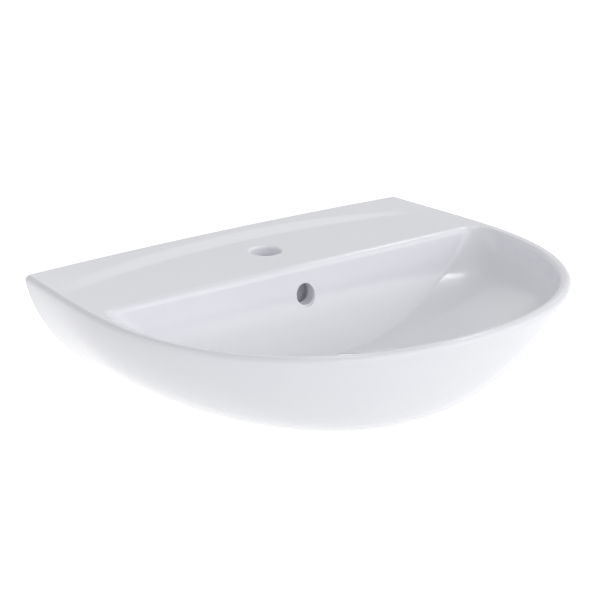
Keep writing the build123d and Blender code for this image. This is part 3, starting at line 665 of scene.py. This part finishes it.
# Spring
def wind_spring(name, radius, wire, turns, bottom, top, centre_y, finish):
    """A coil of round wire, made by a node tree whose sizes are its inputs."""
    tree = bpy.data.node_groups.new(name + " winding", "GeometryNodeTree")
    sizes = {"Coil radius": radius, "Wire radius": wire, "Turns": turns, "Height": top - bottom}
    sockets = {}
    for label, size in sizes.items():
        socket = tree.interface.new_socket(label, in_out="INPUT", socket_type="NodeSocketFloat")
        sockets[label] = (socket.identifier, size)
    tree.interface.new_socket("Geometry", in_out="OUTPUT", socket_type="NodeSocketGeometry")
    given = tree.nodes.new("NodeGroupInput")
    coil = tree.nodes.new("GeometryNodeCurveSpiral")
    coil.inputs["Resolution"].default_value = 40
    section = tree.nodes.new("GeometryNodeCurvePrimitiveCircle")
    section.inputs["Resolution"].default_value = 12
    tube = tree.nodes.new("GeometryNodeCurveToMesh")
    tube.inputs["Fill Caps"].default_value = True
    shift = tree.nodes.new("GeometryNodeTransform")
    shift.inputs["Translation"].default_value = (0, centre_y, bottom)
    real = tree.nodes.new("GeometryNodeRealizeInstances")
    paint = tree.nodes.new("GeometryNodeSetMaterial")
    paint.inputs["Material"].default_value = finish
    made = tree.nodes.new("NodeGroupOutput")
    link = tree.links.new
    link(given.outputs["Coil radius"], coil.inputs["Start Radius"])
    link(given.outputs["Coil radius"], coil.inputs["End Radius"])
    link(given.outputs["Turns"], coil.inputs["Rotations"])
    link(given.outputs["Height"], coil.inputs["Height"])
    link(given.outputs["Wire radius"], section.inputs["Radius"])
    link(coil.outputs["Curve"], tube.inputs["Curve"])
    link(section.outputs["Curve"], tube.inputs["Profile Curve"])
    link(tube.outputs["Mesh"], shift.inputs["Geometry"])
    link(shift.outputs["Geometry"], real.inputs["Geometry"])
    link(real.outputs["Geometry"], paint.inputs["Geometry"])
    link(paint.outputs["Geometry"], made.inputs[0])
    return mesh_from_tree(name, tree, sockets)


def mesh_from_tree(name, tree, sockets):
    """Runs a node tree with its sizes and keeps the plain mesh that it makes."""
    seed = bpy.data.objects.new(name + "_seed", bpy.data.meshes.new(name + "_seed"))
    bpy.context.scene.collection.objects.link(seed)
    modifier = seed.modifiers.new("made", "NODES")
    modifier.node_group = tree
    for identifier, size in sockets.values():
        modifier[identifier] = size
    seed.update_tag()
    evaluated = seed.evaluated_get(bpy.context.evaluated_depsgraph_get())
    mesh = bpy.data.meshes.new_from_object(evaluated)
    bpy.data.objects.remove(seed)
    piece = bpy.data.objects.new(name, mesh)
    bpy.context.scene.collection.objects.link(piece)
    mesh.shade_smooth()
    return piece


spring_low, spring_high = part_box("click_spring")
wire_radius = 0.5 * MM
coil_radius = (spring_high.x - spring_low.x) / 2 - wire_radius
spring_piece = wind_spring(
    "latch_spring",
    coil_radius,
    wire_radius,
    5.0,
    spring_low.z + wire_radius,
    spring_high.z - wire_radius,
    (spring_low.y + spring_high.y) / 2,
    finishes["spring_steel"],
)
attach(spring_piece, "mounted")
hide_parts("click_spring")


# Studio
def place_camera(position, azimuth, elevation, lens):
    """The photograph's view: turned azimuth from square on, and elevation above level."""
    data = bpy.data.cameras.new("photo view")
    data.lens = lens
    data.sensor_width = 36
    data.clip_end = 40
    camera = bpy.data.objects.new("photo view", data)
    turn, rise = math.radians(azimuth), math.radians(elevation)
    camera.matrix_world = (
        Matrix.Translation(position)
        @ Matrix.Rotation(turn, 4, "Z")
        @ Matrix.Rotation(math.pi / 2 - rise, 4, "X")
    )
    bpy.context.scene.collection.objects.link(camera)
    bpy.context.scene.camera = camera


def lay_floor(height, colour, fill, glow):
    """A wide plain floor that glows a little, and more where it is seen."""
    mesh = bpy.data.meshes.new("floor")
    side = 14
    corners = [(-side, -side, height), (side, -side, height), (side, side, height), (-side, side, height)]
    mesh.from_pydata(corners, [], [(0, 1, 2, 3)])
    floor = bpy.data.objects.new("floor", mesh)
    bpy.context.scene.collection.objects.link(floor)
    paint, tree, shader = finish_named("pale floor", colour, 0.9)
    path = tree.nodes.new("ShaderNodeLightPath")
    seen = tree.nodes.new("ShaderNodeMath")
    seen.operation = "MAXIMUM"
    also = tree.nodes.new("ShaderNodeMath")
    also.operation = "MAXIMUM"
    lift = tree.nodes.new("ShaderNodeMath")
    lift.operation = "MULTIPLY_ADD"
    lift.inputs[1].default_value = glow
    lift.inputs[2].default_value = fill
    tree.links.new(path.outputs["Is Camera Ray"], seen.inputs[0])
    tree.links.new(path.outputs["Is Glossy Ray"], seen.inputs[1])
    tree.links.new(seen.outputs["Value"], also.inputs[0])
    tree.links.new(path.outputs["Is Transmission Ray"], also.inputs[1])
    tree.links.new(also.outputs["Value"], lift.inputs[0])
    tree.links.new(lift.outputs["Value"], shader.inputs["Emission Strength"])
    shader.inputs["Emission Color"].default_value = (1, 1, 1, 1)
    mesh.materials.append(paint)


def hang_lamp(name, position, target, width, height, power):
    """A soft box that faces a point."""
    data = bpy.data.lights.new(name, "AREA")
    data.shape = "RECTANGLE"
    data.size = width
    data.size_y = height
    data.energy = power
    lamp = bpy.data.objects.new(name, data)
    aim = Vector(target) - Vector(position)
    lamp.matrix_world = Matrix.Translation(position) @ aim.to_track_quat("-Z", "Y").to_matrix().to_4x4()
    bpy.context.scene.collection.objects.link(lamp)


def light_room(sides, ceiling, window, window_side, seen, window_edge=0.4):
    """An even world with one softly brighter side, like a big window, and white where it is seen."""
    world = bpy.data.worlds.new("studio")
    bpy.context.scene.world = world
    world.use_nodes = True
    tree = world.node_tree
    back = tree.nodes["Background"]
    place = tree.nodes.new("ShaderNodeTexCoord")
    split = tree.nodes.new("ShaderNodeSeparateXYZ")
    rise = tree.nodes.new("ShaderNodeMapRange")
    rise.inputs["From Min"].default_value = 0.0
    rise.inputs["From Max"].default_value = 1.0
    rise.inputs["To Min"].default_value = sides
    rise.inputs["To Max"].default_value = ceiling
    facing = tree.nodes.new("ShaderNodeVectorMath")
    facing.operation = "DOT_PRODUCT"
    facing.inputs[1].default_value = Vector(window_side).normalized()
    glow = tree.nodes.new("ShaderNodeMapRange")
    glow.interpolation_type = "SMOOTHSTEP"
    glow.inputs["From Min"].default_value = window_edge
    glow.inputs["From Max"].default_value = 1.0
    glow.inputs["To Max"].default_value = window
    both = tree.nodes.new("ShaderNodeMath")
    both.operation = "ADD"
    path = tree.nodes.new("ShaderNodeLightPath")
    either = tree.nodes.new("ShaderNodeMath")
    either.operation = "MAXIMUM"
    pick = tree.nodes.new("ShaderNodeMix")
    pick.inputs["B"].default_value = seen
    link = tree.links.new
    link(place.outputs["Generated"], split.inputs["Vector"])
    link(split.outputs["Z"], rise.inputs["Value"])
    link(path.outputs["Is Camera Ray"], either.inputs[0])
    link(path.outputs["Is Transmission Ray"], either.inputs[1])
    link(either.outputs["Value"], pick.inputs["Factor"])
    link(place.outputs["Generated"], facing.inputs[0])
    link(facing.outputs["Value"], glow.inputs["Value"])
    link(rise.outputs["Result"], both.inputs[0])
    link(glow.outputs["Result"], both.inputs[1])
    link(both.outputs["Value"], pick.inputs["A"])
    link(pick.outputs["Result"], back.inputs["Strength"])
    back.inputs["Color"].default_value = (1, 1, 1, 1)


camera_place = Vector((-1265.2, -1820.4, 735.2)) * MM
camera_turn, camera_rise = -37.12, 18.83
camera_lens = 119.17
floor_height, floor_fill, floor_glow = -0.79, 0.13, 0.42

bpy.context.scene.view_settings.view_transform = "Standard"
place_camera(camera_place, camera_turn, camera_rise, camera_lens)
lay_floor(floor_height, (0.93, 0.93, 0.93), floor_fill, floor_glow)
light_room(0.86, 0.14, 1.16, (0.42, -0.89, 0.18), 1.0)
hang_lamp("strip light over the back", (1.7, 1.45, 1.6), (0, -0.03, 0.06), 3.2, 1.2, 7)
hang_lamp("soft box on the left", (-2.4, 0.5, 1.5), (0.1, -0.2, 0), 2.4, 2.0, 8)
hang_lamp("rim light on the left", (0.67, 0.2, 2.46), (0, -0.44, 0.06), 0.51, 0.3, 5.2)
hang_lamp("rim light on the right", (1.64, 0.1, 2.03), (0.15, -0.4, 0.06), 0.38, 0.3, 4.2)
